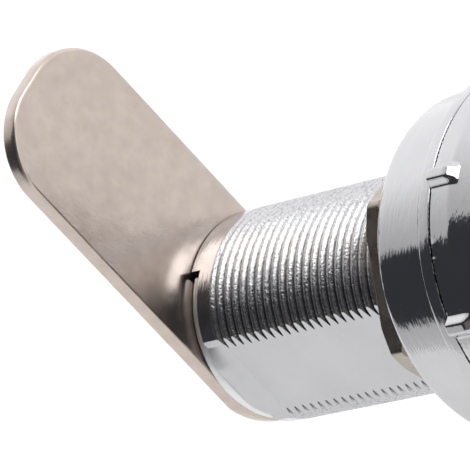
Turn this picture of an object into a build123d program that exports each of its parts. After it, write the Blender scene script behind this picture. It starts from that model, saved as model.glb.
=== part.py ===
from build123d import *
import math
import os

os.makedirs("parts", exist_ok=True)

# Cam lock with a ribbed knob head.  Millimetres.  The lock axis is Y: the head
# looks towards -Y, the cam is at +Y and its tip points to +Z.  The origin is the
# centre of the flange's back face, the plane that lies on the panel.

# ---------------------------------------------------------------- dimensions
THREAD_R = 9.5          # M19 x 1 barrel, major radius
FLAT_X = 8.0            # the two barrel flats, 16 mm across
NOSE_Y = 28.4           # rear face of the barrel
LUG_Y = 29.5            # rear face of the stop lug
LUG_A0, LUG_A1 = 18.0, 108.0      # stop lug, degrees from +X towards +Z
LUG_IN_R = 6.7

RIM_R = 14.8            # plain flange rim
LIP_R, LIP_Y = 16.0, -6.1         # front lip, as wide as the knob
FRONT_Y = -7.5          # housing's front face
BORE_R = 6.5
GROOVE_W = 5.4          # the four wafer grooves in the bore
GROOVE_R = 7.3
GROOVE_Y0, GROOVE_Y1 = -3.6, 11.6
RING_GROOVE_R0, RING_GROOVE_R1, RING_GROOVE_D = 11.2, 12.8, 1.2
O_RING_R, O_RING_T = 12.0, 0.6

KNOB_Y = -7.7           # knob's rear face
KNOB_R = 16.0
KNOB_TAPER_Y = -9.8
KNOB_FRONT_R = 13.75
KNOB_SHOULDER_Y = -13.7
KNOB_FRONT_Y = -14.1
KNOB_RECESS_R = 11.05
RIB_COUNT, RIB_A0 = 8, 21.0
RIB_H, RIB_W, RIB_END_Y = 0.7, 1.3, -10.5
CAP_SEAT_Y = -12.7
CAP_R, CAP_T = 10.95, 0.75
SCREW_PCD_R = 8.75

PLUG_R = 6.44
PLUG_FLANGE_R = 11.0
PLUG_FLANGE_Y = -9.7
PLUG_FRONT_Y = -12.62
PLUG_REAR_Y = 28.35
KEY_W, KEY_H, KEY_DEPTH_Y = 2.2, 8.0, 12.5
TAIL = 7.0              # square tail across flats
TAIL_Y = 31.1

WAFER_Y = [-2.2, 0.3, 2.8, 5.3, 7.8, 10.3]
WAFER_T, WAFER_W, WAFER_R = 1.0, 5.0, 6.36
WAFER_WINDOW = [6.6, 7.2, 6.2, 7.0, 6.4, 6.8]
SPRING_X, SPRING_R, SPRING_WIRE_R = 3.35, 0.5, 0.3
SPRING_Z0, SPRING_Z1 = -3.95, -0.24

WASHER_Y0, WASHER_Y1 = 28.45, 29.5
WASHER_R, WASHER_HUB_R = 9.15, 6.45
WASHER_A0, WASHER_A1 = 111.0, 286.0

CAM_Y0, CAM_Y1 = 29.6, 31.2
CAM_X, CAM_HALF_W = -1.35, 7.63
CAM_TIP_Z, CAM_CORNER_R, CAM_END_R = 32.0, 6.4, 9.2
HOLE = 7.1              # square holes for the tail

LOCK_WASHER_Y = 32.2
SCREW_R, SCREW_AF, SCREW_HEAD_Y = 2.45, 8.0, 35.4

NUT_Y0, NUT_Y1 = 2.1, 4.6
NUT_AF, NUT_BORE_R, NUT_A0 = 22.0, 9.56, 106.5

SHUTTER_X, SHUTTER_Y = -2.1, -11.7   # shutter hinge line


def across(y):
    """Sketch plane across the lock axis at y: local x is X, local y is Z."""
    return Plane.XZ.offset(-y)


def point(r, a):
    return (r * math.cos(math.radians(a)), r * math.sin(math.radians(a)))


def finish(p, label):
    p.part.label = label
    export_step(p.part, f"parts/{label}.step")


# ------------------------------------------------------------------- housing
with BuildPart() as housing:
    with BuildSketch(Plane.XY):
        with BuildLine():
            Polyline(
                (0, FRONT_Y), (LIP_R - 0.1, FRONT_Y), (LIP_R, FRONT_Y + 0.1),
                (LIP_R, LIP_Y - 0.15), (LIP_R - 0.15, LIP_Y), (RIM_R, LIP_Y), (RIM_R, -0.25),
                (RIM_R - 0.25, 0), (THREAD_R, 0), (THREAD_R, NOSE_Y - 0.2),
                (THREAD_R - 0.2, NOSE_Y), (0, NOSE_Y), close=True,
            )
        make_face()
    revolve(axis=Axis.Y)
    # stop lug on the rear face
    with BuildSketch(across(NOSE_Y - 0.3)):
        with BuildLine():
            outer = CenterArc((0, 0), THREAD_R, LUG_A0, LUG_A1 - LUG_A0)
            inner = CenterArc((0, 0), LUG_IN_R, LUG_A0, LUG_A1 - LUG_A0)
            Line(outer @ 0, inner @ 0)
            Line(outer @ 1, inner @ 1)
        make_face()
    extrude(amount=-(LUG_Y - NOSE_Y + 0.3))
    # the two flats along the whole barrel
    with BuildSketch(across(0)):
        with Locations((FLAT_X + 3, 0), (-FLAT_X - 3, 0)):
            Rectangle(6, 30)
    extrude(amount=-40, mode=Mode.SUBTRACT)
    # plug bore
    with BuildSketch(across(FRONT_Y - 1)):
        Circle(BORE_R)
    extrude(amount=-60, mode=Mode.SUBTRACT)
    # four wafer grooves, a quarter turn apart
    with BuildSketch(across(GROOVE_Y0)):
        Rectangle(GROOVE_W, 2 * GROOVE_R)
        Rectangle(2 * GROOVE_R, GROOVE_W)
    extrude(amount=-(GROOVE_Y1 - GROOVE_Y0), mode=Mode.SUBTRACT)
    # groove for the sealing ring in the front face
    with BuildSketch(across(FRONT_Y + RING_GROOVE_D)):
        Circle(RING_GROOVE_R1)
        Circle(RING_GROOVE_R0, mode=Mode.SUBTRACT)
    extrude(amount=5, mode=Mode.SUBTRACT)
finish(housing, "housing")

with BuildPart() as o_ring:
    with BuildSketch(Plane.XY):
        with Locations((O_RING_R, FRONT_Y + RING_GROOVE_D - O_RING_T)):
            Circle(O_RING_T)
    revolve(axis=Axis.Y)
finish(o_ring, "o_ring")

# ---------------------------------------------------------------------- knob
with BuildPart() as knob:
    with BuildSketch(Plane.XY):
        with BuildLine():
            Polyline(
                (KNOB_RECESS_R, KNOB_Y), (KNOB_R, KNOB_Y), (KNOB_R, KNOB_TAPER_Y),
                (KNOB_FRONT_R, KNOB_SHOULDER_Y), (KNOB_FRONT_R - 0.4, KNOB_FRONT_Y),
                (CAP_R + 0.05, KNOB_FRONT_Y), (CAP_R + 0.05, CAP_SEAT_Y),
                (BORE_R, CAP_SEAT_Y), (BORE_R, PLUG_FLANGE_Y - 0.05),
                (KNOB_RECESS_R, PLUG_FLANGE_Y - 0.05), close=True,
            )
        make_face()
    revolve(axis=Axis.Y)
    # raised grip ribs
    slope = (KNOB_R - KNOB_FRONT_R) / (KNOB_TAPER_Y - KNOB_SHOULDER_Y)
    rib_end_r = KNOB_R - slope * (KNOB_TAPER_Y - RIB_END_Y)
    for i in range(RIB_COUNT):
        c, s = point(1, RIB_A0 + i * 360 / RIB_COUNT)
        with BuildSketch(Plane(origin=(0, 0, 0), x_dir=(c, 0, s), z_dir=(-s, 0, c))):
            with BuildLine():
                Polyline(
                    (14.2, KNOB_Y), (KNOB_R + RIB_H - 0.3, KNOB_Y), (KNOB_R + RIB_H, KNOB_Y - 0.3),
                    (KNOB_R + RIB_H, KNOB_TAPER_Y + 0.05), (rib_end_r, RIB_END_Y),
                    (14.2, RIB_END_Y), close=True,
                )
            make_face()
        extrude(amount=RIB_W / 2, both=True)
    # three screw holes under the face cap
    with BuildSketch(across(CAP_SEAT_Y)):
        with Locations(*[point(SCREW_PCD_R, a) for a in (30, 150, 270)]):
            Circle(1.35)
    extrude(amount=-5, mode=Mode.SUBTRACT)
    with BuildSketch(across(CAP_SEAT_Y)):
        with Locations(*[point(SCREW_PCD_R, a) for a in (30, 150, 270)]):
            Circle(2.2)
    extrude(amount=-1.5, mode=Mode.SUBTRACT)
finish(knob, "knob")

# ----------------------------------------------------------------- plug core
with BuildPart() as plug_core:
    with BuildSketch(Plane.XY):
        with BuildLine():
            Polyline(
                (0, PLUG_FRONT_Y), (PLUG_R - 0.2, PLUG_FRONT_Y), (PLUG_R, PLUG_FRONT_Y + 0.2),
                (PLUG_R, PLUG_FLANGE_Y), (PLUG_FLANGE_R, PLUG_FLANGE_Y), (PLUG_FLANGE_R, KNOB_Y),
                (PLUG_R, KNOB_Y), (PLUG_R, PLUG_REAR_Y), (0, PLUG_REAR_Y), close=True,
            )
        make_face()
    revolve(axis=Axis.Y)
    with BuildSketch(across(PLUG_REAR_Y)):
        Rectangle(TAIL, TAIL)
    extrude(amount=-(TAIL_Y - PLUG_REAR_Y))
    # tapped hole in the tail
    with BuildSketch(across(TAIL_Y)):
        Circle(SCREW_R + 0.05)
    extrude(amount=9, mode=Mode.SUBTRACT)
    # keyway
    with BuildSketch(across(PLUG_FRONT_Y)):
        Rectangle(KEY_W, KEY_H)
    extrude(amount=-(KEY_DEPTH_Y - PLUG_FRONT_Y), mode=Mode.SUBTRACT)
    # shutter pocket and the blind holes for its pin
    with BuildSketch(across(PLUG_FRONT_Y)):
        with Locations((-0.5, 0)):
            Rectangle(5.0, 9.2)
    extrude(amount=-4.9, mode=Mode.SUBTRACT)
    with BuildSketch(Plane.XY.offset(-5.5)):
        with Locations((SHUTTER_X, SHUTTER_Y)):
            Circle(0.4)
    extrude(amount=11.0, mode=Mode.SUBTRACT)
    # wafer slots, each with a spring pocket on alternate sides
    for i, y in enumerate(WAFER_Y):
        side = 1 if i % 2 == 0 else -1
        with BuildSketch(across(y - WAFER_T / 2 - 0.05)):
            Rectangle(WAFER_W + 0.2, 20)
            with Locations((side * 3.3, side * -1.05)):
                Rectangle(1.6, 5.9)
        extrude(amount=-(WAFER_T + 0.1), mode=Mode.SUBTRACT)
    # tapped holes for the knob screws
    with BuildSketch(across(PLUG_FLANGE_Y)):
        with Locations(*[point(SCREW_PCD_R, a) for a in (30, 150, 270)]):
            Circle(1.3)
    extrude(amount=-5, mode=Mode.SUBTRACT)
finish(plug_core, "plug_core")

with BuildPart() as knob_screws:
    with BuildSketch(across(CAP_SEAT_Y + 1.45)):
        with Locations(*[point(SCREW_PCD_R, a) for a in (30, 150, 270)]):
            Circle(1.25)
    extrude(amount=-3.2)
    with BuildSketch(across(CAP_SEAT_Y + 0.05)):
        with Locations(*[point(SCREW_PCD_R, a) for a in (30, 150, 270)]):
            Circle(2.1)
    extrude(amount=-1.4)
    with BuildSketch(across(CAP_SEAT_Y + 0.05)):
        with Locations(*[point(SCREW_PCD_R, a) for a in (30, 150, 270)]):
            RegularPolygon(0.9, 6)
    extrude(amount=-0.9, mode=Mode.SUBTRACT)
finish(knob_screws, "knob_screws")

with BuildPart() as face_cap:
    with BuildSketch(across(CAP_SEAT_Y - 0.03)):
        Circle(CAP_R)
        SlotOverall(9.4, 3.0, rotation=90, mode=Mode.SUBTRACT)
    extrude(amount=CAP_T)
    chamfer(face_cap.faces().sort_by(Axis.Y)[0].outer_wire().edges(), 0.2)
finish(face_cap, "face_cap")

# ------------------------------------------------------------------- shutter
with BuildPart() as shutter:
    with BuildSketch(Plane.XY.offset(-4.3)):
        with Locations((SHUTTER_X, SHUTTER_Y)):
            Circle(0.75)
    extrude(amount=7.2)
    with BuildSketch(Plane.XY.offset(-4.3)):
        with Locations(((SHUTTER_X + 1.5) / 2, SHUTTER_Y - 0.52)):
            Rectangle(1.5 - SHUTTER_X, 0.4)
    extrude(amount=8.6)
    with BuildSketch(Plane.XY.offset(-4.3)):
        with Locations((SHUTTER_X, SHUTTER_Y)):
            Circle(0.45)
    extrude(amount=8.6, mode=Mode.SUBTRACT)
    # clearance for the return spring beside the knuckle
    with BuildSketch(Plane.XY.offset(2.9)):
        with Locations((SHUTTER_X, SHUTTER_Y)):
            Rectangle(1.7, 3.0)
    extrude(amount=1.4, mode=Mode.SUBTRACT)
finish(shutter, "shutter")

with BuildPart() as shutter_pin:
    with BuildSketch(Plane.XY.offset(-5.45)):
        with Locations((SHUTTER_X, SHUTTER_Y)):
            Circle(0.38)
    extrude(amount=10.9)
finish(shutter_pin, "shutter_pin")

with BuildPart() as shutter_spring:
    with BuildSketch(Plane.XY.offset(3.0)):
        with Locations((SHUTTER_X, SHUTTER_Y)):
            Circle(0.5 + 0.2)
            Circle(0.5, mode=Mode.SUBTRACT)
    extrude(amount=1.1)
    with BuildSketch(Plane.XY.offset(3.0)):
        with Locations((SHUTTER_X - 0.6, SHUTTER_Y + 0.9)):
            Rectangle(0.2, 1.8)
    extrude(amount=0.25)
finish(shutter_spring, "shutter_spring")

# ---------------------------------------------------------- wafers, springs
for i, y in enumerate(WAFER_Y):
    side = 1 if i % 2 == 0 else -1
    with BuildPart() as wafer:
        with BuildSketch(across(y - WAFER_T / 2)):
            Circle(WAFER_R)
            Rectangle(WAFER_W, 20, mode=Mode.INTERSECT)
            with Locations((side * 3.1, side * 0.35)):
                Rectangle(1.6, 1.1)
            with Locations((0, side * 0.3)):
                Rectangle(2.6, WAFER_WINDOW[i], mode=Mode.SUBTRACT)
        extrude(amount=-WAFER_T)
    finish(wafer, f"wafer_{i + 1}")

    with BuildPart() as wafer_spring:
        z0 = SPRING_Z0 if side > 0 else -SPRING_Z1
        with BuildSketch(Plane.XY.offset(z0)):
            with Locations((side * SPRING_X, y)):
                Circle(SPRING_R)
                Circle(SPRING_WIRE_R, mode=Mode.SUBTRACT)
        extrude(amount=SPRING_Z1 - SPRING_Z0)
    finish(wafer_spring, f"wafer_spring_{i + 1}")

# -------------------------------------------------------------- rear hardware
with BuildPart() as stop_washer:
    with BuildSketch(across(WASHER_Y0)):
        with BuildLine():
            arc = CenterArc((0, 0), WASHER_R, WASHER_A0, WASHER_A1 - WASHER_A0)
            Line(arc @ 1, (0, 0))
            Line((0, 0), arc @ 0)
        make_face()
        Circle(WASHER_HUB_R)
        Rectangle(HOLE, HOLE, mode=Mode.SUBTRACT)
    extrude(amount=-(WASHER_Y1 - WASHER_Y0))
finish(stop_washer, "stop_washer")

with BuildPart() as cam:
    with BuildSketch(across(CAM_Y0)) as cam_outline:
        with Locations((CAM_X, CAM_TIP_Z / 2)):
            Rectangle(2 * CAM_HALF_W, CAM_TIP_Z)
        fillet(cam_outline.vertices().group_by(Axis.Z)[-1], CAM_CORNER_R)
        Circle(CAM_END_R)
        with Locations((CAM_X, 0)):
            Rectangle(2 * CAM_HALF_W, 100, mode=Mode.INTERSECT)
        Rectangle(HOLE, HOLE, mode=Mode.SUBTRACT)
    extrude(amount=-(CAM_Y1 - CAM_Y0))
finish(cam, "cam")

with BuildPart() as lock_washer:
    with BuildSketch(across(CAM_Y1)):
        Circle(4.6)
        Circle(2.7, mode=Mode.SUBTRACT)
        with Locations((3.6, 0)):
            Rectangle(3.0, 0.8, rotation=25, mode=Mode.SUBTRACT)
    extrude(amount=-(LOCK_WASHER_Y - CAM_Y1))
finish(lock_washer, "lock_washer")

with BuildPart() as cam_screw:
    with BuildSketch(across(LOCK_WASHER_Y)):
        RegularPolygon(SCREW_AF / 2, 6, major_radius=False)
    extrude(amount=-(SCREW_HEAD_Y - LOCK_WASHER_Y))
    with BuildSketch(across(LOCK_WASHER_Y)):
        Circle(SCREW_R)
    extrude(amount=9.2)
    chamfer(cam_screw.faces().sort_by(Axis.Y)[0].edges(), 0.4)
finish(cam_screw, "cam_screw")

with BuildPart() as hex_nut:
    with BuildSketch(across(NUT_Y0)):
        RegularPolygon(NUT_AF / 2, 6, major_radius=False, rotation=NUT_A0)
    extrude(amount=-(NUT_Y1 - NUT_Y0))
    with BuildSketch(Plane.XY):
        with BuildLine():
            Polyline(
                (0, NUT_Y0), (12.2, NUT_Y0), (12.75, NUT_Y0 + 0.32), (12.75, NUT_Y1 - 0.42),
                (11.9, NUT_Y1), (0, NUT_Y1), close=True,
            )
        make_face()
    revolve(axis=Axis.Y, mode=Mode.INTERSECT)
    with BuildSketch(across(NUT_Y0)):
        Circle(NUT_BORE_R)
    extrude(amount=-20, mode=Mode.SUBTRACT)
finish(hex_nut, "hex_nut")
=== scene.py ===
import math

import bmesh
import bpy
from mathutils import Matrix, Vector


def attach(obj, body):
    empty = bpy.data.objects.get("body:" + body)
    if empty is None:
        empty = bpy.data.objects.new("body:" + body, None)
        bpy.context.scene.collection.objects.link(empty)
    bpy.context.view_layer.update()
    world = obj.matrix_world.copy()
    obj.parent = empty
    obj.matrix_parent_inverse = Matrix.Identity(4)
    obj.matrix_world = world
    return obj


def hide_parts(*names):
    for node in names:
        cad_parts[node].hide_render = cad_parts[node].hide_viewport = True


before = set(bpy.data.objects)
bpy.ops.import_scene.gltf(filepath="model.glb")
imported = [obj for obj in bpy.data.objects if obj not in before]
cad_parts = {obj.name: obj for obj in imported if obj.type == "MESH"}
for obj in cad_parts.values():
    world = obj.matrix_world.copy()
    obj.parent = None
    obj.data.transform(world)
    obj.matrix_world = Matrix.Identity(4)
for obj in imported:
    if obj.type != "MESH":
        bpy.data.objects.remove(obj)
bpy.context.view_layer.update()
MM = 0.001
scene = bpy.context.scene

# Lengths below are in millimetres in the row frame: lock axis Y, knob towards -Y,
# cam tip towards +Z, barrel flats at x = -8 and x = 8.
PITCH = 1.0
CREST_R, ROOT_R = 9.5, 8.93
FLAT_X = 8.0
NOSE_Y, LUG_Y = 28.4, 29.5
LUG_A0, LUG_A1 = 18.0, 108.0
BORE_R = 6.5
RIB_A = [21.0 + 45.0 * i for i in range(8)]


# --------------------------------------------------------------------- meshes
def rad(a):
    return math.radians(a)


def at(r, a, y):
    return (r * math.cos(rad(a)), y, r * math.sin(rad(a)))


def make(name, bm, material, body, replaces=None, sharp=35.0, merge=2e-4):
    """Turns a mesh built in millimetres into a piece that rides on a body."""
    bmesh.ops.remove_doubles(bm, verts=bm.verts, dist=merge)
    bmesh.ops.dissolve_degenerate(bm, edges=bm.edges, dist=merge / 4)
    bmesh.ops.recalc_face_normals(bm, faces=bm.faces)
    for v in bm.verts:
        v.co *= MM
    mesh = bpy.data.meshes.new(name)
    bm.to_mesh(mesh)
    bm.free()
    for p in mesh.polygons:
        p.use_smooth = True
    mesh.set_sharp_from_angle(angle=rad(sharp))
    mesh.materials.append(material)
    obj = bpy.data.objects.new(name, mesh)
    scene.collection.objects.link(obj)
    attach(obj, body)
    if replaces:
        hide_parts(replaces)
    return obj


def add_rings(bm, rings, closed=False, wrap=None):
    """Joins rings of equal length. wrap(k) gives the row that row k meets at the seam."""
    rows = [[bm.verts.new(p) for p in ring] for ring in rings]
    n = len(rows[0])
    last = len(rows) if closed else len(rows) - 1
    for k in range(last):
        a, b = rows[k], rows[(k + 1) % len(rows)]
        wa = rows[wrap(k)] if wrap else a
        wb = rows[wrap((k + 1) % len(rows))] if wrap else b
        for j in range(n):
            if j < n - 1:
                quad = [a[j], a[j + 1], b[j + 1], b[j]]
            else:
                quad = [a[j], wa[0], wb[0], b[j]]
            seen = []
            for v in quad:
                if v not in seen:
                    seen.append(v)
            if len(seen) > 2:
                try:
                    bm.faces.new(seen)
                except ValueError:
                    pass
    return rows


def loop_edges(bm, row):
    out = []
    for i in range(len(row)):
        a, b = row[i], row[(i + 1) % len(row)]
        out.append(bm.edges.get((a, b)) or bm.edges.new((a, b)))
    return out


def fill(bm, rows):
    edges = []
    for row in rows:
        edges += loop_edges(bm, row)
    bmesh.ops.triangle_fill(bm, use_beauty=True, edges=edges)


def circle(cx, cz, r, n, a0=0.0):
    return [(cx + r * math.cos(rad(a0 + 360 * i / n)), cz + r * math.sin(rad(a0 + 360 * i / n))) for i in range(n)]


def normals2(pts):
    """Outward mitre vectors of a counter-clockwise closed outline."""
    out = []
    n = len(pts)
    for i in range(n):
        ax, az = pts[i - 1]
        bx, bz = pts[i]
        cx, cz = pts[(i + 1) % n]
        d0 = Vector((bx - ax, bz - az)).normalized()
        d1 = Vector((cx - bx, cz - bz)).normalized()
        n0 = Vector((d0.y, -d0.x))
        n1 = Vector((d1.y, -d1.x))
        m = n0 + n1
        m = m / max(m.length_squared / 2.0, 0.3)
        out.append(m)
    return out


def ccw(pts):
    area = sum(a[0] * b[1] - b[0] * a[1] for a, b in zip(pts, pts[1:] + pts[:1]))
    return pts if area > 0 else pts[::-1]


def wall(bm, pts, y0, y1, edge, steps, outside):
    """Side wall of a plate with both rims rounded. Returns its two face rows."""
    pts = ccw(pts)
    nrm = normals2(pts)
    sign = 1.0 if outside else -1.0
    rings = []

    def ring(inset, y):
        rings.append([(p[0] - sign * m.x * inset, y, p[1] - sign * m.y * inset) for p, m in zip(pts, nrm)])

    ring(edge + 0.05, y0)
    for i in range(steps + 1):
        t = rad(90.0 * i / steps)
        ring(edge * (1 - math.sin(t)), y0 + edge * (1 - math.cos(t)))
    for i in range(steps, -1, -1):
        t = rad(90.0 * i / steps)
        ring(edge * (1 - math.sin(t)), y1 - edge * (1 - math.cos(t)))
    ring(edge + 0.05, y1)
    rows = add_rings(bm, rings)
    return rows[0], rows[-1]


def plate(bm, outline, holes, y0, y1, edge=0.1, hole_edge=0.06, steps=4):
    low, high = [], []
    a, b = wall(bm, outline, y0, y1, edge, steps, True)
    low.append(a)
    high.append(b)
    for h in holes:
        a, b = wall(bm, h, y0, y1, hole_edge, 3, False)
        low.append(a)
        high.append(b)
    fill(bm, low)
    fill(bm, high)


def rounded(pts, corners, seg=10):
    """Polygon with some corners rounded: corners maps an index to a radius."""
    out = []
    n = len(pts)
    for i in range(n):
        r = corners.get(i, 0.0)
        p = Vector(pts[i])
        if r <= 0:
            out.append((p.x, p.y))
            continue
        a = (Vector(pts[i - 1]) - p).normalized()
        b = (Vector(pts[(i + 1) % n]) - p).normalized()
        half = a.angle(b) / 2
        d = r / math.tan(half)
        c = p + (a + b).normalized() * (r / math.sin(half))
        s = p + a * d - c
        e = p + b * d - c
        turn = s.angle_signed(e)
        for k in range(seg + 1):
            v = s.copy()
            v.rotate(Matrix.Rotation(-turn * k / seg, 2))
            out.append((c.x + v.x, c.y + v.y))
    return out


def coil(bm, centre, axis, radius, wire, length, turns, seg=16, sides=7, start=(1, 0, 0)):
    """A round-wire helix with flat ends."""
    axis = Vector(axis).normalized()
    u = Vector(start).normalized()
    v = axis.cross(u)
    n = int(turns * seg)
    rings = []
    for i in range(n + 1):
        t = i / n
        a = 2 * math.pi * turns * t
        # closed end turns, open middle
        s = t + 0.0
        lead = wire + (length - 2 * wire) * (s - 0.055 * math.sin(2 * math.pi * s) / 1.0)
        radial = u * math.cos(a) + v * math.sin(a)
        c = Vector(centre) + axis * lead + radial * radius
        ring = []
        for k in range(sides):
            b = 2 * math.pi * k / sides
            ring.append(c + (radial * math.cos(b) + axis * math.sin(b)) * wire)
        rings.append(ring)
    rows = add_rings(bm, rings)
    bm.faces.new(rows[0])
    bm.faces.new(rows[-1][::-1])


def tube(bm, pts, wire, sides=7):
    rings = []
    for i, p in enumerate(pts):
        p = Vector(p)
        d = (Vector(pts[min(i + 1, len(pts) - 1)]) - Vector(pts[max(i - 1, 0)])).normalized()
        side = Vector((0, 0, 1)) if abs(d.z) < 0.9 else Vector((1, 0, 0))
        e1 = d.cross(side).normalized()
        e2 = d.cross(e1)
        rings.append([p + (e1 * math.cos(2 * math.pi * k / sides) + e2 * math.sin(2 * math.pi * k / sides)) * wire for k in range(sides)])
    rows = add_rings(bm, rings)
    bm.faces.new(rows[0])
    bm.faces.new(rows[-1][::-1])


# ------------------------------------------------------------------ materials
def nodes_of(name):
    m = bpy.data.materials.new(name)
    m.use_nodes = True
    nt = m.node_tree
    bsdf = nt.nodes["Principled BSDF"]
    return m, nt, bsdf


def coords(nt, scale):
    tc = nt.nodes.new("ShaderNodeTexCoord")
    mp = nt.nodes.new("ShaderNodeMapping")
    mp.inputs["Scale"].default_value = scale
    nt.links.new(tc.outputs["Object"], mp.inputs["Vector"])
    return mp.outputs["Vector"]


def noise(nt, scale_vec, scale=1.0, detail=3.0, rough=0.5):
    t = nt.nodes.new("ShaderNodeTexNoise")
    t.inputs["Scale"].default_value = scale
    t.inputs["Detail"].default_value = detail
    t.inputs["Roughness"].default_value = rough
    nt.links.new(coords(nt, scale_vec), t.inputs["Vector"])
    return t.outputs["Fac"]


def ramp(nt, fac, stops):
    r = nt.nodes.new("ShaderNodeValToRGB")
    el = r.color_ramp.elements
    while len(el) < len(stops):
        el.new(0.5)
    for e, (pos, col) in zip(el, stops):
        e.position = pos
        e.color = (*col, 1.0) if len(col) == 3 else col
    nt.links.new(fac, r.inputs["Fac"])
    return r.outputs["Color"]


def remap(nt, fac, lo, hi, a=0.0, b=1.0):
    r = nt.nodes.new("ShaderNodeMapRange")
    r.inputs["From Min"].default_value = a
    r.inputs["From Max"].default_value = b
    r.inputs["To Min"].default_value = lo
    r.inputs["To Max"].default_value = hi
    nt.links.new(fac, r.inputs["Value"])
    return r.outputs["Result"]


def bump(nt, layers):
    """Stacks height layers: (height socket, distance in mm, strength)."""
    prev = None
    for h, dist, strength in layers:
        b = nt.nodes.new("ShaderNodeBump")
        b.inputs["Distance"].default_value = dist * MM
        b.inputs["Strength"].default_value = strength
        nt.links.new(h, b.inputs["Height"])
        if prev is not None:
            nt.links.new(prev, b.inputs["Normal"])
        prev = b.outputs["Normal"]
    return prev


def metal(name, dark, light, rough, rough_spread=0.05, layers=(), blotch=(160, 160, 160), speck=None, thread=None):
    """Metal with an uneven colour and gloss. layers are noise bumps: (cells per metre on x, y, z), height in mm, detail.
    thread is a coarser layer that only the thread gets: between two y values and off the flats."""
    m, nt, bsdf = nodes_of(name)
    bsdf.inputs["Metallic"].default_value = 1.0
    big = noise(nt, blotch, 1.0, 4.0, 0.55)
    col = ramp(nt, big, [(0.30, dark), (0.70, light)])
    if speck:
        fine = noise(nt, (speck[2],) * 3, 1.0, 2.0, 0.6)
        mask = ramp(nt, fine, [(speck[0], (0, 0, 0)), (speck[0] + 0.06, (1, 1, 1))])
        mix = nt.nodes.new("ShaderNodeMix")
        mix.data_type = "RGBA"
        nt.links.new(mask, mix.inputs["Factor"])
        nt.links.new(col, mix.inputs["A"])
        mix.inputs["B"].default_value = (*speck[1], 1.0)
        col = mix.outputs["Result"]
    rn = noise(nt, (420, 420, 420), 1.0, 3.0, 0.6)
    gloss = remap(nt, rn, max(0.01, rough - rough_spread), rough + rough_spread, 0.3, 0.7)
    stack = [(noise(nt, sc, 1.0, detail, 0.55), dist, 1.0) for sc, dist, detail in layers]
    if thread:
        y0, y1, scale, dist, extra = thread
        tc = nt.nodes.new("ShaderNodeTexCoord")
        sep = nt.nodes.new("ShaderNodeSeparateXYZ")
        nt.links.new(tc.outputs["Object"], sep.inputs[0])

        def maths(op, *args):
            n = nt.nodes.new("ShaderNodeMath")
            n.operation = op
            for i, v in enumerate(args):
                if isinstance(v, (int, float)):
                    n.inputs[i].default_value = v
                else:
                    nt.links.new(v, n.inputs[i])
            return n.outputs["Value"]

        on = maths("MULTIPLY", maths("GREATER_THAN", sep.outputs["Y"], y0 * MM), maths("LESS_THAN", sep.outputs["Y"], y1 * MM))
        on = maths("MULTIPLY", on, maths("LESS_THAN", maths("ABSOLUTE", sep.outputs["X"]), (FLAT_X - 0.01) * MM))
        coarse = noise(nt, (scale, scale, scale), 1.0, 2.0, 0.65)
        stack.append((maths("MULTIPLY", coarse, on), dist, 1.0))
        mix = nt.nodes.new("ShaderNodeMix")
        mix.data_type = "FLOAT"
        nt.links.new(on, mix.inputs["Factor"])
        nt.links.new(gloss, mix.inputs["A"])
        mix.inputs["B"].default_value = extra
        gloss = mix.outputs["Result"]
        # the two flats are duller than the plated rounds
        flat = maths("MULTIPLY", maths("GREATER_THAN", sep.outputs["Y"], y0 * MM), maths("LESS_THAN",
                     maths("ABSOLUTE", maths("SUBTRACT", maths("ABSOLUTE", sep.outputs["X"]), FLAT_X * MM)), 0.008 * MM))
        inner = maths("LESS_THAN", maths("ADD", maths("MULTIPLY", sep.outputs["X"], sep.outputs["X"]),
                      maths("MULTIPLY", sep.outputs["Z"], sep.outputs["Z"])), (9.2 * MM) ** 2)
        ramp_on = maths("MULTIPLY", maths("GREATER_THAN", sep.outputs["Y"], 26.0 * MM), inner)
        flat = maths("MAXIMUM", flat, ramp_on)
        dull = nt.nodes.new("ShaderNodeMix")
        dull.data_type = "FLOAT"
        nt.links.new(flat, dull.inputs["Factor"])
        nt.links.new(gloss, dull.inputs["A"])
        dull.inputs["B"].default_value = 0.36
        gloss = dull.outputs["Result"]
        pits = ramp(nt, coarse, [(0.38, (0.70, 0.70, 0.70)), (0.50, (1, 1, 1))])
        dim = nt.nodes.new("ShaderNodeMix")
        dim.data_type = "RGBA"
        dim.blend_type = "MULTIPLY"
        nt.links.new(on, dim.inputs["Factor"])
        nt.links.new(col, dim.inputs["A"])
        nt.links.new(pits, dim.inputs["B"])
        col = dim.outputs["Result"]
        # painted shade in the thread's roots: the colour darkens towards the root radius
        r2 = maths("ADD", maths("MULTIPLY", sep.outputs["X"], sep.outputs["X"]), maths("MULTIPLY", sep.outputs["Z"], sep.outputs["Z"]))
        rr = maths("SQRT", r2)
        lo, hi = ROOT_R * MM, (ROOT_R + 0.6 * (CREST_R - ROOT_R)) * MM
        root = maths("MINIMUM", maths("MAXIMUM", maths("DIVIDE", maths("SUBTRACT", rr, lo), hi - lo), 0.0), 1.0)
        # painted shade: near-black at the root, full colour from 60% of the thread depth up
        root_shade = ramp(nt, root, [(0.0, (0.12, 0.115, 0.11)), (0.5, (0.45, 0.45, 0.44)), (1.0, (1, 1, 1))])
        root_shaded = nt.nodes.new("ShaderNodeMix")
        root_shaded.data_type = "RGBA"
        root_shaded.blend_type = "MULTIPLY"
        nt.links.new(on, root_shaded.inputs["Factor"])
        nt.links.new(col, root_shaded.inputs["A"])
        nt.links.new(root_shade, root_shaded.inputs["B"])
        col = root_shaded.outputs["Result"]
    nt.links.new(col, bsdf.inputs["Base Color"])
    nt.links.new(gloss, bsdf.inputs["Roughness"])
    if stack:
        nt.links.new(bump(nt, stack), bsdf.inputs["Normal"])
    return m


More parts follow.
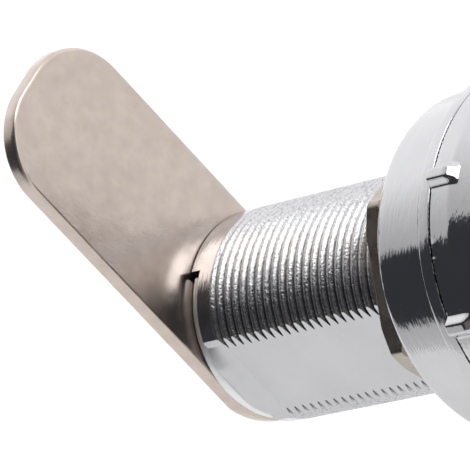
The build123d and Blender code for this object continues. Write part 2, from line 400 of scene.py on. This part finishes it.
def rubber(name):
    m, nt, bsdf = nodes_of(name)
    n = noise(nt, (900, 900, 900), 1.0, 4.0, 0.6)
    nt.links.new(ramp(nt, n, [(0.3, (0.012, 0.012, 0.013)), (0.7, (0.03, 0.03, 0.032))]), bsdf.inputs["Base Color"])
    nt.links.new(remap(nt, n, 0.45, 0.65, 0.3, 0.7), bsdf.inputs["Roughness"])
    nt.links.new(bump(nt, [(n, 0.01, 0.6)]), bsdf.inputs["Normal"])
    return m


CHROME_D, CHROME_L = (0.535, 0.535, 0.55), (0.58, 0.58, 0.592)
mat_body = metal("chrome_body", CHROME_D, CHROME_L, 0.085, rough_spread=0.03,
                 layers=[((120, 160, 120), 0.035, 1.0), ((700, 3600, 700), 0.028, 2.0)],
                 thread=(0.2, 26.7, 4600, 0.040, 0.20))
mat_knob = metal("chrome_knob", CHROME_D, CHROME_L, 0.075, rough_spread=0.03,
                 layers=[((120, 160, 120), 0.035, 1.0), ((800, 2800, 800), 0.030, 2.0)])
mat_cam = metal("nickel_cam", (0.515, 0.442, 0.395), (0.595, 0.515, 0.463), 0.22, rough_spread=0.05,
                layers=[((90, 90, 90), 0.05, 2.0), ((1500, 1500, 1500), 0.009, 3.0)], blotch=(700, 700, 700),
                speck=(0.68, (0.40, 0.335, 0.28), 2600))
mat_nut = metal("nickel_nut", (0.34, 0.30, 0.25), (0.43, 0.385, 0.33), 0.27, rough_spread=0.06,
                layers=[((160, 160, 160), 0.04, 2.0), ((1400, 1400, 1400), 0.02, 3.0)], speck=(0.62, (0.30, 0.27, 0.22), 1500))
mat_stop = metal("stop_steel", (0.80, 0.81, 0.81), (0.88, 0.89, 0.89), 0.50, rough_spread=0.05,
                 layers=[((200, 200, 200), 0.03, 2.0), ((2200, 2200, 2200), 0.012, 3.0)])
mat_zinc = metal("zinc_steel", (0.50, 0.52, 0.54), (0.60, 0.62, 0.635), 0.24, rough_spread=0.07,
                 layers=[((300, 300, 300), 0.02, 2.0), ((2200, 2200, 2200), 0.008, 3.0)], blotch=(500, 500, 500))
mat_cap = metal("steel_cap", (0.52, 0.52, 0.53), (0.58, 0.58, 0.59), 0.15, rough_spread=0.05,
                layers=[((3400, 400, 260), 0.010, 2.0)])
mat_spring = metal("spring_steel", (0.34, 0.34, 0.345), (0.46, 0.46, 0.465), 0.26, layers=[((1500, 1500, 1500), 0.006, 2.0)])
mat_brass = metal("plug_brass", (0.62, 0.47, 0.21), (0.71, 0.55, 0.27), 0.26, layers=[((300, 3000, 300), 0.008, 2.0)],
                  blotch=(300, 300, 300))
mat_wafer = metal("wafer_brass", (0.58, 0.43, 0.18), (0.68, 0.51, 0.24), 0.30, layers=[((2600, 300, 300), 0.006, 2.0)],
                  blotch=(420, 420, 420))
mat_rubber = rubber("seal_rubber")

KEPT = {"plug_core": mat_brass, "shutter": mat_cap, "shutter_pin": mat_spring, "knob_screws": mat_zinc}
for i in range(1, 7):
    KEPT[f"wafer_{i}"] = mat_wafer
for node, material in KEPT.items():
    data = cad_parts[node].data
    for i in range(max(1, len(data.materials))):
        if i < len(data.materials):
            data.materials[i] = material
        else:
            data.materials.append(material)


# -------------------------------------------------------------------- housing
def columns():
    a = {round(i * 1.5, 4) for i in range(240)}
    for q in (0, 90, 180, 270):
        for d in (20.296, 24.544):
            a |= {round((q + d) % 360, 4), round((q - d) % 360, 4)}
    for e in (LUG_A0, LUG_A1):
        a |= {round(e - 0.03, 4), round(e, 4), round(e + 0.03, 4)}
    out = []
    for v in sorted(a):
        if not out or v - out[-1] > 0.012:
            out.append(v)
    return out


COLS = columns()


def lug(a):
    return LUG_A0 - 0.005 <= a <= LUG_A1 + 0.005


def groove_r(a):
    """Bore outline through the wafer grooves."""
    d = abs((a + 45) % 90 - 45)
    if d <= 20.2965:
        return 7.3 / math.cos(rad(d))
    if d < 24.544:
        return 2.7 / math.sin(rad(d))
    return BORE_R


def build_housing():
    bm = bmesh.new()
    # thread form over one pitch: (position, radius above the root)
    depth = CREST_R - ROOT_R
    form = [(0.000, 1.0), (0.06, 0.995), (0.115, 0.97), (0.165, 0.915), (0.205, 0.83), (0.40, 0.09), (0.44, 0.0), (0.56, 0.0),
            (0.60, 0.09), (0.83, 0.86), (0.87, 0.94), (0.915, 0.985), (0.955, 1.0)]
    per = len(form)
    y_start, y_end = 0.0, 26.62
    phase = 0.98
    rows_y = []
    k = 0
    while True:
        turn, idx = divmod(k, per)
        y = phase - 2.0 + turn * PITCH + form[idx][0]
        rows_y.append((y, form[idx][1]))
        if y > y_end + PITCH and idx == per - 1:
            break
        k += 1
    rows_y = [(min(y, 1e9), h) for y, h in rows_y]
    # first rows lie wholly before the start, last rows wholly after the end
    first = max(i for i, (y, h) in enumerate(rows_y) if y <= y_start)
    rows_y = rows_y[first:]

    def thread_point(y, h, a):
        yy = min(max(y - PITCH * a / 360.0 + 0.0, y_start), y_end)
        f0 = min(1.0, max(0.0, (yy - 0.75) / 0.45))
        f1 = min(1.0, max(0.0, (y_end - yy) / 0.26))
        r = ROOT_R + depth * h * f0
        r = CREST_R - (CREST_R - r) * f1
        return at(r, a, yy)

    rings = [[thread_point(y, h, a) for a in COLS] for y, h in rows_y]
    n_thread = len(rings)

    def add(fn):
        rings.append([fn(a) for a in COLS])

    add(lambda a: at(CREST_R, a, 26.8))
    add(lambda a: at(CREST_R, a, 27.4))
    add(lambda a: at(CREST_R, a, NOSE_Y - 0.34))
    add(lambda a: at(CREST_R, a, NOSE_Y - 0.24))
    for inset, dy in ((0.0, 0.12), (0.035, 0.035), (0.12, 0.0), (0.2, 0.0)):
        add(lambda a, i=inset, d=dy: at(CREST_R - i, a, (LUG_Y if lug(a) else NOSE_Y) - d))
    add(lambda a: at(6.8, a, LUG_Y if lug(a) else NOSE_Y))
    add(lambda a: at(6.7, a, LUG_Y - 0.08 if lug(a) else NOSE_Y))
    add(lambda a: at(6.7, a, NOSE_Y))
    add(lambda a: at(BORE_R + 0.1, a, NOSE_Y))
    add(lambda a: at(BORE_R, a, NOSE_Y - 0.1))
    add(lambda a: at(BORE_R, a, 20.0))
    add(lambda a: at(BORE_R, a, 11.6))
    add(lambda a: at(groove_r(a), a, 11.6))
    add(lambda a: at(groove_r(a), a, 4.0))
    add(lambda a: at(groove_r(a), a, -3.6))
    add(lambda a: at(BORE_R, a, -3.6))
    add(lambda a: at(BORE_R, a, -7.4))
    add(lambda a: at(BORE_R + 0.1, a, -7.5))
    add(lambda a: at(11.2, a, -7.5))
    add(lambda a: at(11.2, a, -6.3))
    add(lambda a: at(12.8, a, -6.3))
    add(lambda a: at(12.8, a, -7.5))
    add(lambda a: at(15.55, a, -7.5))
    # lip with rounded edges, then the plain flange behind it
    for r, y in ((15.89, -7.5), (15.95, -7.488), (15.988, -7.455), (16.0, -7.4), (16.0, -6.9), (16.0, -6.42),
                 (15.985, -6.29), (15.94, -6.19), (15.865, -6.125), (15.77, -6.1), (15.5, -6.1), (15.2, -6.1),
                 (14.96, -6.1), (14.87, -6.075), (14.815, -6.02), (14.8, -5.93), (14.8, -5.2), (14.8, -4.1)):
        add(lambda a, r=r, y=y: at(r, a, y))
    for y in (-3.0, -2.0, -1.0, -0.6):
        add(lambda a, y=y: at(14.8, a, y))
    for r, y in ((14.785, -0.42), (14.735, -0.24), (14.64, -0.1), (14.5, -0.02), (14.38, 0.0), (14.25, 0.0)):
        add(lambda a, r=r, y=y: at(r, a, y))

    per_turn = per

    def wrap(k):
        return max(k - per_turn, 0) if k < n_thread else k

    rows = add_rings(bm, rings, wrap=wrap)
    last = rows[-1]
    n_thread_rows = n_thread
    outer = set()
    for k in range(n_thread_rows + 14):
        outer.update(rows[k])
    bmesh.ops.remove_doubles(bm, verts=bm.verts, dist=2e-4)
    bmesh.ops.dissolve_degenerate(bm, edges=bm.edges, dist=5e-5)

    for x in (-FLAT_X, FLAT_X):
        s = 1 if x > 0 else -1
        faces = [f for f in bm.faces if all(v.co.y > -1e-6 for v in f.verts)
                 and all(math.hypot(v.co.x, v.co.z) < 9.7 for v in f.verts)
                 and any(s * v.co.x > FLAT_X - 0.7 for v in f.verts)]
        geom = set(faces)
        for f in faces:
            geom.update(f.edges)
            geom.update(f.verts)
        bmesh.ops.bisect_plane(bm, geom=list(geom), dist=1e-5, plane_co=(x, 0, 0), plane_no=(s, 0, 0), clear_outer=True)
        cut = [e for e in bm.edges if e.is_boundary and all(abs(v.co.x - x) < 1e-4 for v in e.verts)
               and all(v.co.y < LUG_Y + 0.01 for v in e.verts)]
        # close the outline along the flange's back face
        ends = {}
        for e in cut:
            for v in e.verts:
                ends[v] = ends.get(v, 0) + 1
        ends = [v for v, c in ends.items() if c == 1]
        ends.sort(key=lambda v: v.co.y)
        foot = ends[:2]
        edge = bm.edges.get(foot) or bm.edges.new(foot)
        bmesh.ops.triangle_fill(bm, use_beauty=True, edges=cut + [edge])
    # flange's back face, from the rim to the barrel's foot
    ring = [e for e in bm.edges if e.is_boundary and all(abs(v.co.y) < 1e-5 for v in e.verts)]
    bmesh.ops.triangle_fill(bm, use_beauty=True, edges=ring)
    # the cast flats rise in a soft ramp to the round end of the nose
    zs = [4.37 * math.sin(rad(-90 + 180 * j / 36)) for j in range(37)]
    for s in (-1, 1):
        rings = []
        for i in range(15):
            u = i / 14
            rise = u * u * (3 - 2 * u) if u < 1 else 1.0
            y = 26.1 + 2.3 * u
            face = [(s * (8.002 + (min(8.86, math.sqrt(9.12 ** 2 - z * z)) - 8.0) * rise), y, z) for z in zs]
            rings.append([bm.verts.new(co) for co in face] + [bm.verts.new((s * 7.8, y, z)) for z in reversed(zs)])
        faces = []
        n = len(rings[0])
        for r0, r1 in zip(rings, rings[1:]):
            for j in range(n):
                faces.append(bm.faces.new((r0[j], r0[(j + 1) % n], r1[(j + 1) % n], r1[j])))
        faces.append(bm.faces.new(rings[0]))
        faces.append(bm.faces.new(rings[-1]))
        bmesh.ops.recalc_face_normals(bm, faces=faces)
    return bm


make("housing_body", build_housing(), mat_body, "housing", "housing", sharp=32)

bm = bmesh.new()
add_rings(bm, [[at(12.0 + 0.6 * math.cos(rad(b)), a * 3.0, -6.9 + 0.6 * math.sin(rad(b))) for a in range(120)]
               for b in range(0, 360, 20)], closed=True)
make("sealing_ring", bm, mat_rubber, "housing", "o_ring", sharp=60)


# ----------------------------------------------------------------------- knob
def build_knob():
    bm = bmesh.new()
    cols = set()
    for c in RIB_A:
        for t in [i * 0.1 for i in range(-13, 14)]:
            cols.add(round((c + math.degrees(t / 16.0)) % 360, 4))
    for i in range(480):
        a = i * 0.75
        if all(abs((a - c + 180) % 360 - 180) > 4.9 for c in RIB_A):
            cols.add(round(a, 4))
    cols = sorted(cols)
    nick = {}
    for j, a in enumerate(cols):
        near = min(abs((a - c + 180) % 360 - 180) for c in RIB_A)
        nick[a] = (0.11 + 0.05 * math.sin(a * 7.3) + 0.03 * math.sin(a * 2.9)) if j % 2 and near > 4.6 else 0.0

    def rib(a, r):
        d = min(abs((a - c + 180) % 360 - 180) for c in RIB_A)
        t = rad(d) * 16.0
        w0, w1 = 0.34, 1.02
        if t <= w0:
            return 1.0
        if t >= w1:
            return 0.0
        u = (t - w0) / (w1 - w0)
        return 1 - u * u * (3 - 2 * u)

    slope = 2.25 / 3.9
    prof = []  # (radius, y, rib height)
    H = 0.7
    for r, y, h in ((11.2, -7.7, 0), (12.5, -7.7, 0), (14.0, -7.7, 0), (15.2, -7.7, 0), (15.3, -7.62, 0), (15.87, -7.62, H - 0.05), (15.945, -7.64, H), (15.985, -7.69, H), (16.0, -7.77, H),
                    (16.0, -8.4, H), (16.0, -8.9, H), (16.0, -9.4, H)):
        prof.append((r, y, h))
    # soft kink between the cylinder and the taper
    kr = 0.8
    d = kr * math.tan(rad(15))

    def tr(y):
        return 16.0 - slope * (-9.8 - y)

    def top(y):
        """Radius of a rib's crest; its end drops steeply onto the taper."""
        u = min(max((-9.6 - y) / 0.85, 0.0), 1.0)
        return 16.7 - 1.12 * (u * u * 0.6 + u * 0.4 if u < 0.3 else (u * u * 0.2 + u * 0.8 - 0.084 * (1 - u) / 0.7))

    for i in range(7):
        t = rad(30.0 * i / 6)
        r, y = 16.0 - kr + kr * math.cos(t), -9.8 + d - kr * math.sin(t)
        prof.append((r, y, max(0.0, top(y) - r)))
    for y in (-10.05, -10.12, -10.19, -10.26, -10.33, -10.4, -10.46, -10.52, -10.7, -11.0, -11.4, -11.8, -12.2, -12.6, -13.1, -13.4):
        prof.append((tr(y), y, max(0.0, top(y) - tr(y)) if y > -10.5 else 0.0))
    prof += [(13.80, -13.62, 0), (13.72, -13.74, 0), (13.62, -13.85, 0), (13.48, -13.96, 0), (13.33, -14.05, 0), (13.15, -14.1, 0), (12.9, -14.1, 0),
             (11.3, -14.1, 0), (11.12, -14.08, 0), (11.0, -13.98, 0), (11.0, -12.78, 0), (11.0, -12.7, 0)]
    rings = []
    for r, y, h in prof:
        cut = 1.0 if -7.75 < y < -7.62 and r > 15.8 else (0.5 if y == -7.62 and r > 15.5 else 0.0)
        rings.append([at(r + (rib(a, r) * h if h else 0) - nick[a] * cut, a, y - (nick[a] * 0.6 if cut == 1.0 else 0.0)) for a in cols])
    rows = add_rings(bm, rings)
    seat_out = rows[-1]
    back_out = rows[0]
    inner = add_rings(bm, [[at(6.5, a, y) for a in cols] for y in (-12.7, -11.2, -9.75)])
    recess = add_rings(bm, [[at(11.05, a, y) for a in cols] for y in (-9.75, -8.5, -7.8)] + [back_ring(cols)])
    # the recess mouth meets the back face
    add_between(bm, recess[-1], back_out)
    centres = [(8.75 * math.cos(rad(a)), 8.75 * math.sin(rad(a))) for a in (30, 150, 270)]
    top, bot = [], []
    for cx, cz in centres:
        big = circle(cx, cz, 2.2, 40)
        small = circle(cx, cz, 1.35, 40)
        rr = add_rings(bm, [[(x, -12.7, z) for x, z in big], [(x, -11.2, z) for x, z in big],
                            [(x, -11.2, z) for x, z in small], [(x, -9.75, z) for x, z in small]])
        top.append(rr[0])
        bot.append(rr[-1])
    fill(bm, [seat_out, inner[0]] + top)
    fill(bm, [recess[0], inner[-1]] + bot)
    return bm


def back_ring(cols):
    return [at(11.13, a, -7.7) for a in cols]


def add_between(bm, a, b):
    n = len(a)
    for j in range(n):
        bm.faces.new([a[j], a[(j + 1) % n], b[(j + 1) % n], b[j]])


make("knob_grip", build_knob(), mat_knob, "knob_plug", "knob", sharp=40)

# ------------------------------------------------------------------- face cap
slot_outline = []
for i in range(25):
    t = 180.0 * i / 24
    slot_outline.append((1.5 * math.cos(rad(t)), 3.2 + 1.5 * math.sin(rad(t))))
for i in range(25):
    t = 180 + 180.0 * i / 24
    slot_outline.append((1.5 * math.cos(rad(t)), -3.2 + 1.5 * math.sin(rad(t))))
bm = bmesh.new()
plate(bm, circle(0, 0, 10.95, 180), [slot_outline], -13.48, -12.73, edge=0.2, hole_edge=0.14, steps=5)
make("front_cap", bm, mat_cap, "knob_plug", "face_cap", sharp=32)

# ---------------------------------------------------------------- stop washer
a0, a1 = 111.0, 286.0
outline = [(9.15 * math.cos(rad(a0 + (a1 - a0) * i / 120)), 9.15 * math.sin(rad(a0 + (a1 - a0) * i / 120))) for i in range(121)]
# hub arc from 286 degrees on to 111 degrees
hub = [(6.45 * math.cos(rad(a1 + (a0 + 360 - a1) * i / 60)), 6.45 * math.sin(rad(a1 + (a0 + 360 - a1) * i / 60))) for i in range(61)]
outline += hub
sq = 7.1 / 2
square = rounded([(-sq, -sq), (sq, -sq), (sq, sq), (-sq, sq)], {0: 0.25, 1: 0.25, 2: 0.25, 3: 0.25}, 4)
bm = bmesh.new()
plate(bm, outline, [square], 28.45, 29.5, edge=0.46, hole_edge=0.06, steps=8)
make("stop_washer_plate", bm, mat_stop, "knob_plug", "stop_washer", sharp=32)

# ------------------------------------------------------------------------ cam
CX, HW, TIP, CR, ER = -1.35, 7.63, 32.0, 6.4, 9.2
left_z, right_z = -math.sqrt(ER ** 2 - (CX - HW) ** 2), -math.sqrt(ER ** 2 - (CX + HW) ** 2)
arc0 = math.degrees(math.atan2(left_z, CX - HW)) % 360
arc1 = math.degrees(math.atan2(right_z, CX + HW)) % 360
outline = []
for i in range(61):
    a = arc0 + (arc1 - arc0) * i / 60
    outline.append((ER * math.cos(rad(a)), ER * math.sin(rad(a))))
for i in range(1, 12):
    outline.append((CX + HW, right_z + (TIP - CR - right_z) * i / 12))
for i in range(33):
    a = 90.0 * i / 32
    outline.append((CX + HW - CR + CR * math.cos(rad(a)), TIP - CR + CR * math.sin(rad(a))))
for i in range(33):
    a = 90 + 90.0 * i / 32
    outline.append((CX - HW + CR + CR * math.cos(rad(a)), TIP - CR + CR * math.sin(rad(a))))
for i in range(11, 0, -1):
    outline.append((CX - HW, left_z + (TIP - CR - left_z) * i / 12))
bm = bmesh.new()
plate(bm, outline, [square], 29.6, 31.2, edge=0.42, hole_edge=0.12, steps=7)
make("cam_blank", bm, mat_cam, "knob_plug", "cam", sharp=32)

# ---------------------------------------------------------------- lock washer
bm = bmesh.new()
rings = []
for i in range(121):
    t = i / 120
    a = 25 + 6 + (360 - 12) * t
    y0, y1 = 31.2 + 0.14 * t, 32.06 + 0.14 * t
    b = 0.09
    sec = [(2.7 + b, y0), (4.6 - b, y0), (4.6, y0 + b), (4.6, y1 - b), (4.6 - b, y1), (2.7 + b, y1), (2.7, y1 - b), (2.7, y0 + b)]
    rings.append([at(r, a, y) for r, y in sec])
rows = add_rings(bm, rings)
bm.faces.new(rows[0])
bm.faces.new(rows[-1][::-1])
make("spring_lock_washer", bm, mat_spring, "knob_plug", "lock_washer", sharp=50)


# --------------------------------------------------------- hexagons and screws
def hex_r(a, af, a0, soft):
    d = abs((a - a0 + 30) % 60 - 30)
    r = af / 2 / math.cos(rad(30 - d))
    corner = af / 2 / math.cos(rad(30))
    return min(r, corner - soft)


def hex_cols(a0, extra=()):
    cols = set()
    for k in range(6):
        c = a0 + 60 * k
        for d in (-6, -4, -2.6, -1.6, -0.9, -0.3, 0.3, 0.9, 1.6, 2.6, 4, 6):
            cols.add(round((c + d) % 360, 4))
        for d in range(8, 53, 2):
            cols.add(round((c + d) % 360, 4))
    return sorted(cols)


NUT_A0 = 106.5


def build_nut():
    bm = bmesh.new()
    cols = hex_cols(NUT_A0)
    y0, y1 = 2.1, 4.6
    AF = 22.0
    rc0, rc1 = 11.95, 11.75
    k = math.tan(rad(30))
    rings = []

    def add(fn):
        rings.append([fn(a) for a in cols])

    def hr(a):
        return hex_r(a, AF, NUT_A0, 0.09)

    def m0(a):
        return min(hr(a), rc0)

    def m1(a):
        return min(hr(a), rc1)

    add(lambda a: at(m1(a) - 0.35, a, y1))
    add(lambda a: at(m1(a) - 0.12, a, y1))
    add(lambda a: at(m1(a) - 0.035, a, y1 - 0.035))
    add(lambda a: at(m1(a), a, y1 - 0.12))
    add(lambda a: at(hr(a), a, y1 - 0.14 - (hr(a) - m1(a)) * k * 1.15))
    add(lambda a: at(hr(a), a, y1 - 0.26 - (hr(a) - m1(a)) * k * 1.15))
    add(lambda a: at(hr(a), a, 3.3))
    add(lambda a: at(hr(a), a, y0 + 0.24 + (hr(a) - m0(a)) * k))
    add(lambda a: at(hr(a), a, y0 + 0.12 + (hr(a) - m0(a)) * k))
    add(lambda a: at(m0(a), a, y0 + 0.10))
    add(lambda a: at(m0(a) - 0.03, a, y0 + 0.03))
    add(lambda a: at(m0(a) - 0.10, a, y0))
    add(lambda a: at(m0(a) - 0.3, a, y0))
    out = add_rings(bm, rings)
    # threaded bore
    n = 180
    form = [(0.0, 0.0), (0.07, 0.0), (0.36, 1.0), (0.5, 1.0), (0.64, 1.0), (0.93, 0.0)]
    per = len(form)
    ys = []
    kk = 0
    while True:
        turn, idx = divmod(kk, per)
        y = 1.0 + turn + form[idx][0]
        ys.append((y, form[idx][1]))
        if y > y1 + 1.0 and idx == per - 1:
            break
        kk += 1
    first = max(i for i, (y, h) in enumerate(ys) if y <= y0 + 0.35)
    ys = ys[first:]
    lo, hi = y0 + 0.35, y1 - 0.35

    def pt(y, h, a):
        yy = min(max(y - a / 360.0, lo), hi)
        f = min(1.0, (yy - lo) / 0.2, (hi - yy) / 0.2)
        return at(9.56 + 0.36 * h * max(0.0, f), a, yy)

    angles = [360.0 * i / n for i in range(n)]
    tr = [[pt(y, h, a) for a in angles] for y, h in ys]
    nt_ = len(tr)
    tr.append([at(9.56 + 0.02, a, hi + 0.03) for a in angles])
    tr.append([at(9.9, a, y1) for a in angles])
    rows = add_rings(bm, tr, wrap=lambda k: max(k - per, 0) if k < nt_ else k)
    foot = add_rings(bm, [[at(9.9, a, y0) for a in angles], [at(9.58, a, lo - 0.03) for a in angles], [at(9.56, a, lo) for a in angles]])
    fill(bm, [out[0], rows[-1]])
    fill(bm, [out[-1], foot[0]])
    return bm


make("hexagon_nut", build_nut(), mat_nut, "nut", "hex_nut", sharp=24)


def build_screw():
    bm = bmesh.new()
    cols = hex_cols(0.0)
    AF, y0, y1 = 8.0, 32.2, 35.4
    k = math.tan(rad(30))
    rc = 3.85
    rings = []

    def add(fn):
        rings.append([fn(a) for a in cols])

    def hr(a):
        return hex_r(a, AF, 0.0, 0.05)

    def m(a):
        return min(hr(a), rc)

    add(lambda a: at(0.6, a, y1 - 0.12))
    add(lambda a: at(2.4, a, y1 - 0.12))
    add(lambda a: at(2.75, a, y1 - 0.06))
    add(lambda a: at(3.0, a, y1))
    add(lambda a: at(m(a) - 0.25, a, y1))
    add(lambda a: at(m(a) - 0.07, a, y1 - 0.02))
    add(lambda a: at(m(a), a, y1 - 0.07))
    add(lambda a: at(hr(a), a, y1 - 0.09 - (hr(a) - m(a)) * k * 1.2))
    add(lambda a: at(hr(a), a, y1 - 0.2 - (hr(a) - m(a)) * k * 1.2))
    add(lambda a: at(hr(a), a, 33.6))
    add(lambda a: at(hr(a), a, y0 + 0.45))
    add(lambda a: at(hr(a) - 0.03, a, y0 + 0.32))
    add(lambda a: at(3.98, a, y0 + 0.26))
    add(lambda a: at(3.95, a, y0 + 0.08))
    add(lambda a: at(3.88, a, y0))
    add(lambda a: at(2.62, a, y0))
    add(lambda a: at(2.45, a, y0 - 0.15))
    add(lambda a: at(2.45, a, 28.0))
    add(lambda a: at(2.45, a, 23.5))
    add(lambda a: at(2.1, a, 23.1))
    add(lambda a: at(2.0, a, 23.0))
    rows = add_rings(bm, rings)
    bm.faces.new(rows[0])
    bm.faces.new(rows[-1][::-1])
    return bm


make("hexagon_screw", build_screw(), mat_zinc, "knob_plug", "cam_screw", sharp=24)

# -------------------------------------------------------------------- springs
for i, y in enumerate((-2.2, 0.3, 2.8, 5.3, 7.8, 10.3)):
    side = 1 if i % 2 == 0 else -1
    bm = bmesh.new()
    z0 = -3.95 if side > 0 else 0.24
    coil(bm, (side * 3.35, y, z0), (0, 0, 1), 0.39, 0.1, 3.71, 11, seg=18, sides=8)
    make(f"wafer_coil_{i + 1}", bm, mat_spring, "knob_plug", f"wafer_spring_{i + 1}", sharp=60, merge=1e-5)

bm = bmesh.new()
coil(bm, (-2.1, -11.7, 3.0), (0, 0, 1), 0.6, 0.09, 1.1, 4.5, seg=24, sides=8)
tube(bm, [(-2.7, -11.7, 3.09), (-2.7, -11.2, 3.09), (-2.7, -10.6, 3.1), (-2.7, -10.05, 3.12)], 0.09, 8)
make("shutter_coil", bm, mat_spring, "knob_plug", "shutter_spring", sharp=60, merge=1e-5)

# ---------------------------------------------------------------------- floor
bm = bmesh.new()
FLOOR_Z = -62.0
add_rings(bm, [[(900 * math.cos(rad(a)) * t, 900 * math.sin(rad(a)) * t, FLOOR_Z) for a in range(0, 360, 5)] for t in (0.02, 0.3, 1.0)])
bm.verts.ensure_lookup_table()
bm.faces.new([v for v in bm.verts[:72]])
for v in bm.verts:
    v.co *= MM
mesh = bpy.data.meshes.new("studio_floor")
bm.to_mesh(mesh)
bm.free()
floor = bpy.data.objects.new("studio_floor", mesh)
scene.collection.objects.link(floor)
m, nt, bsdf = nodes_of("studio_floor")
n = noise(nt, (4, 4, 4), 1.0, 2.0, 0.5)
nt.links.new(ramp(nt, n, [(0.3, (0.93, 0.93, 0.93)), (0.7, (0.95, 0.95, 0.95))]), bsdf.inputs["Base Color"])
bsdf.inputs["Roughness"].default_value = 0.9
bsdf.inputs["Specular IOR Level"].default_value = 0.0
bsdf.inputs["Emission Color"].default_value = (1.0, 1.0, 1.0, 1.0)
bsdf.inputs["Emission Strength"].default_value = 0.24
mesh.materials.append(m)

# --------------------------------------------------------------- studio light
world = bpy.data.worlds.new("studio")
scene.world = world
world.use_nodes = True
nt = world.node_tree
bg = nt.nodes["Background"]
tc = nt.nodes.new("ShaderNodeTexCoord")


def node_math(op, *args):
    m = nt.nodes.new("ShaderNodeMath")
    m.operation = op
    for i, v in enumerate(args):
        if isinstance(v, (int, float)):
            m.inputs[i].default_value = v
        else:
            nt.links.new(v, m.inputs[i])
    return m.outputs["Value"]


def dot_with(v, d):
    n = nt.nodes.new("ShaderNodeVectorMath")
    n.operation = "DOT_PRODUCT"
    nt.links.new(v, n.inputs[0])
    n.inputs[1].default_value = d
    return n.outputs["Value"]


def smooth(v, a, b, lo=0.0, hi=1.0):
    r = nt.nodes.new("ShaderNodeMapRange")
    r.interpolation_type = "SMOOTHSTEP"
    r.inputs["From Min"].default_value = a
    r.inputs["From Max"].default_value = b
    r.inputs["To Min"].default_value = lo
    r.inputs["To Max"].default_value = hi
    nt.links.new(v, r.inputs["Value"])
    return r.outputs["Result"]


def mix_color(a, b, fac):
    mix = nt.nodes.new("ShaderNodeMix")
    mix.data_type = "RGBA"
    nt.links.new(fac, mix.inputs["Factor"])
    for key, v in (("A", a), ("B", b)):
        if isinstance(v, tuple):
            mix.inputs[key].default_value = (*v, 1.0)
        else:
            nt.links.new(v, mix.inputs[key])
    return mix.outputs["Result"]


# A white tent round the lock axis with one dark gap along it, and a soft box in front.
unit = nt.nodes.new("ShaderNodeVectorMath")
unit.operation = "NORMALIZE"
nt.links.new(tc.outputs["Generated"], unit.inputs[0])
d = unit.outputs["Vector"]
GAP = 143.0
e1 = (math.cos(rad(GAP)), 0.0, math.sin(rad(GAP)))
e2 = (-math.sin(rad(GAP)), 0.0, math.cos(rad(GAP)))
angle = node_math("MULTIPLY", node_math("ARCTAN2", dot_with(d, e2), dot_with(d, e1)), 180 / math.pi)
# signed angle from the gap: positive towards +X under the lock, negative over the top
away = node_math("ABSOLUTE", angle)
wide = smooth(dot_with(d, (0, 1, 0)), 0.75, -0.45, 24.0, 31.0)
over = node_math("MULTIPLY", smooth(angle, 0.0, -8.0), smooth(dot_with(d, (0, 1, 0)), -0.25, -0.55, 0.0, 24.0))
past = node_math("SUBTRACT", away, node_math("ADD", wide, over))
tone = smooth(past, 0.0, 58.0, 0.50, 1.0)
tent = mix_color((0.0, 0.0, 0.0), (1.30, 1.30, 1.315), tone)
col = mix_color((0.050, 0.052, 0.060), tent, smooth(past, -1.5, 2.5))
room = dot_with(d, tuple(Vector((-0.55, -0.80, -0.10)).normalized()))
col = mix_color(col, (0.20, 0.178, 0.155), smooth(room, math.cos(rad(27)), math.cos(rad(17))))
soft = dot_with(d, tuple(Vector((0.31, -0.73, 0.61)).normalized()))
col = mix_color(col, (3.6, 3.6, 3.55), smooth(soft, math.cos(rad(19)), math.cos(rad(15))))
nt.links.new(col, bg.inputs["Color"])
bg.inputs["Strength"].default_value = 1.0

scene.view_settings.view_transform = "Standard"
scene.view_settings.look = "None"

# --------------------------------------------------------------------- camera
R = ((0.4220939696479877, -0.6617458545146474, -0.619620129449876),
     (-0.7274139209256462, 0.16067442359636275, -0.6671227152822439),
     (0.541022798438643, 0.7323087829834175, -0.4135434414121016))
T = (22.539170799751172, 2.386232484528014, 418.1092593104377)
right = Vector(R[0]).normalized()
back = -Vector(R[2])
back = (back - right * back.dot(right)).normalized()
up = back.cross(right)
centre = Vector([-(R[0][i] * T[0] + R[1][i] * T[1] + R[2][i] * T[2]) for i in range(3)]) * MM
cam_data = bpy.data.cameras.new("camera")
cam_data.sensor_fit = "HORIZONTAL"
cam_data.sensor_width = 36.0
cam_data.lens = 5000.0 / 470.0 * 36.0
cam_data.clip_start = 0.01
cam_data.clip_end = 10.0
camera = bpy.data.objects.new("camera", cam_data)
scene.collection.objects.link(camera)
camera.matrix_world = Matrix(((right.x, up.x, back.x, centre.x), (right.y, up.y, back.y, centre.y),
                              (right.z, up.z, back.z, centre.z), (0, 0, 0, 1)))
scene.camera = camera

bpy.context.view_layer.update()
